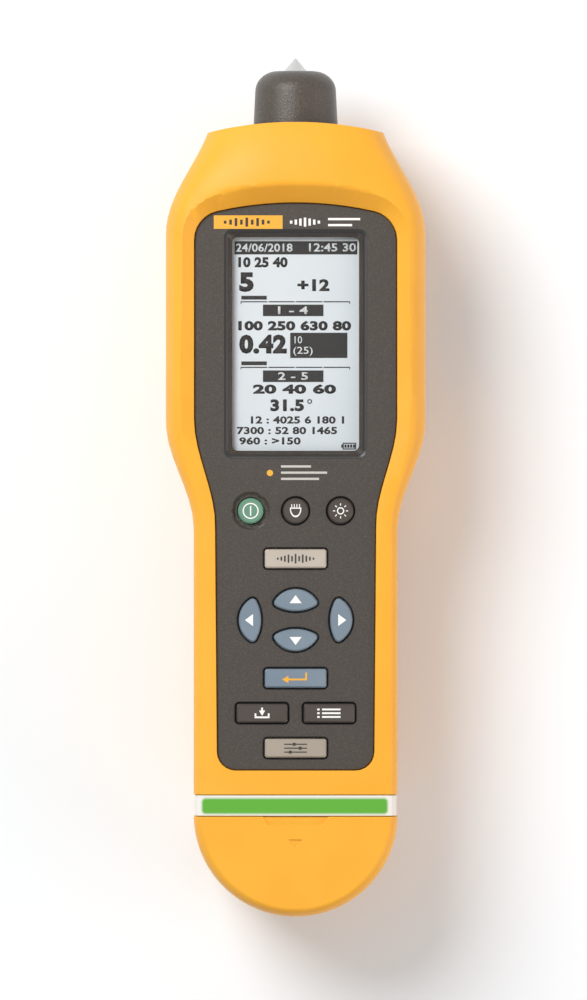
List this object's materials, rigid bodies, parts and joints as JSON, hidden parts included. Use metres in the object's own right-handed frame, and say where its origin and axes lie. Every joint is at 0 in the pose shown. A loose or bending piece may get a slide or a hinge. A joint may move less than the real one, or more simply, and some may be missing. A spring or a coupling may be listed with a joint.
{
  "type": "handheld vibration meter",
  "caption": "Handheld meter with a rubber-booted contact probe at its head, a display under a raised rim, keys on the grip and a light band above the battery cover.",
  "frame": {"origin": "middle of the bounding box's base, on the plane that the back of the head and the heel of the butt rest on", "axes": "+Y towards the probe tip, +Z out of the display, +X to the right of someone reading the display"},
  "size_m": [0.0728, 0.241, 0.058],
  "materials": {
    "yellow_shell": "fine matt",
    "dark_plate": "fine speckled texture",
    "black_rubber": "matt, fine grain",
    "band_plastic": "translucent, satin",
    "clear_window": "clear",
    "ir_glass": "clear, dark red",
    "display_glass": "satin",
    "carrier_steel": "satin",
    "probe_steel": "satin",
    "screw_steel": "satin",
    "spring_steel": "bright",
    "contact_metal": "bright",
    "green_board": "solder mask",
    "chip_black": "matt",
    "led_parts": "satin",
    "black_plastic": "fine matt",
    "cell_jacket": "gloss jacket",
    "sensor_can": "satin",
    "key_green": "satin",
    "key_dark": "satin",
    "key_beige": "satin",
    "key_blue_grey": "satin"
  },
  "bodies": {
    "main": {"front_housing": "yellow_shell", "rear_housing": "yellow_shell", "shell_gasket": "black_rubber", "housing_screws": "screw_steel", "faceplate": "dark_plate", "display_window": "clear_window", "display_gasket": "black_rubber", "lcd_frame": "carrier_steel", "lcd_panel": "display_glass", "main_board": "green_board", "board_chips": "chip_black", "board_screws": "screw_steel", "keypad_mat": "black_rubber", "light_band": "band_plastic", "led_strip": "led_parts", "battery_tray": "black_plastic", "battery_cell_left": "cell_jacket", "battery_cell_right": "cell_jacket", "battery_spring": "spring_steel", "cell_contacts": "contact_metal", "end_plate": "dark_plate", "sensor_boot": "black_rubber", "boot_clamp": "carrier_steel", "sensor_sleeve": "black_plastic", "ir_window": "ir_glass", "ir_sensor": "sensor_can", "torch_lens": "clear_window", "torch_led": "led_parts", "port_bezel": "dark_plate", "port_board": "green_board", "usb_socket": "carrier_steel", "audio_jack": "chip_black", "sensor_socket": "carrier_steel"},
    "cover": {"battery_cover": "yellow_shell", "cover_contact": "contact_metal", "cover_spring": "spring_steel"},
    "door": {"port_door": "black_rubber"},
    "probe": {"sensor_tip": "probe_steel", "accelerometer": "probe_steel", "probe_spring": "spring_steel"},
    "key_power": {"key_power": "key_green"},
    "key_torch": {"key_torch": "key_dark"},
    "key_backlight": {"key_backlight": "key_dark"},
    "key_measure": {"key_measure": "key_beige"},
    "key_up": {"key_up": "key_blue_grey"},
    "key_down": {"key_down": "key_blue_grey"},
    "key_left": {"key_left": "key_blue_grey"},
    "key_right": {"key_right": "key_blue_grey"},
    "key_enter": {"key_enter": "key_blue_grey"},
    "key_save": {"key_save": "key_dark"},
    "key_memory": {"key_memory": "key_dark"},
    "key_setup": {"key_setup": "key_beige"}
  },
  "joints": [
    {"name": "key_power_press", "type": "slide", "parent": "main", "child": "key_power", "axis": [0, 0, 1], "range_m": [-0.0006, 0], "stiffness_N_per_m": 400},
    {"name": "key_torch_press", "type": "slide", "parent": "main", "child": "key_torch", "axis": [0, 0, 1], "range_m": [-0.0006, 0], "stiffness_N_per_m": 400},
    {"name": "key_backlight_press", "type": "slide", "parent": "main", "child": "key_backlight", "axis": [0, 0, 1], "range_m": [-0.0006, 0], "stiffness_N_per_m": 400},
    {"name": "key_measure_press", "type": "slide", "parent": "main", "child": "key_measure", "axis": [0, 0, 1], "range_m": [-0.0006, 0], "stiffness_N_per_m": 400},
    {"name": "key_up_press", "type": "slide", "parent": "main", "child": "key_up", "axis": [0, 0, 1], "range_m": [-0.0006, 0], "stiffness_N_per_m": 400},
    {"name": "key_down_press", "type": "slide", "parent": "main", "child": "key_down", "axis": [0, 0, 1], "range_m": [-0.0006, 0], "stiffness_N_per_m": 400},
    {"name": "key_left_press", "type": "slide", "parent": "main", "child": "key_left", "axis": [0, 0, 1], "range_m": [-0.0006, 0], "stiffness_N_per_m": 400},
    {"name": "key_right_press", "type": "slide", "parent": "main", "child": "key_right", "axis": [0, 0, 1], "range_m": [-0.0006, 0], "stiffness_N_per_m": 400},
    {"name": "key_enter_press", "type": "slide", "parent": "main", "child": "key_enter", "axis": [0, 0, 1], "range_m": [-0.0006, 0], "stiffness_N_per_m": 400},
    {"name": "key_save_press", "type": "slide", "parent": "main", "child": "key_save", "axis": [0, 0, 1], "range_m": [-0.0006, 0], "stiffness_N_per_m": 400},
    {"name": "key_memory_press", "type": "slide", "parent": "main", "child": "key_memory", "axis": [0, 0, 1], "range_m": [-0.0006, 0], "stiffness_N_per_m": 400},
    {"name": "key_setup_press", "type": "slide", "parent": "main", "child": "key_setup", "axis": [0, 0, 1], "range_m": [-0.0006, 0], "stiffness_N_per_m": 400},
    {"name": "cover_slide", "type": "slide", "parent": "main", "child": "cover", "axis": [0, -1, 0], "range_m": [0, 0.04]},
    {"name": "door_hinge", "type": "hinge", "parent": "main", "child": "door", "pos_m": [0.0366, 0.0455, 0.03], "axis": [0, -1, 0], "range_deg": [0, 105]},
    {"name": "probe_press", "type": "slide", "parent": "main", "child": "probe", "axis": [0, 1, 0], "range_m": [-0.001, 0], "stiffness_N_per_m": 3000}
  ]
}
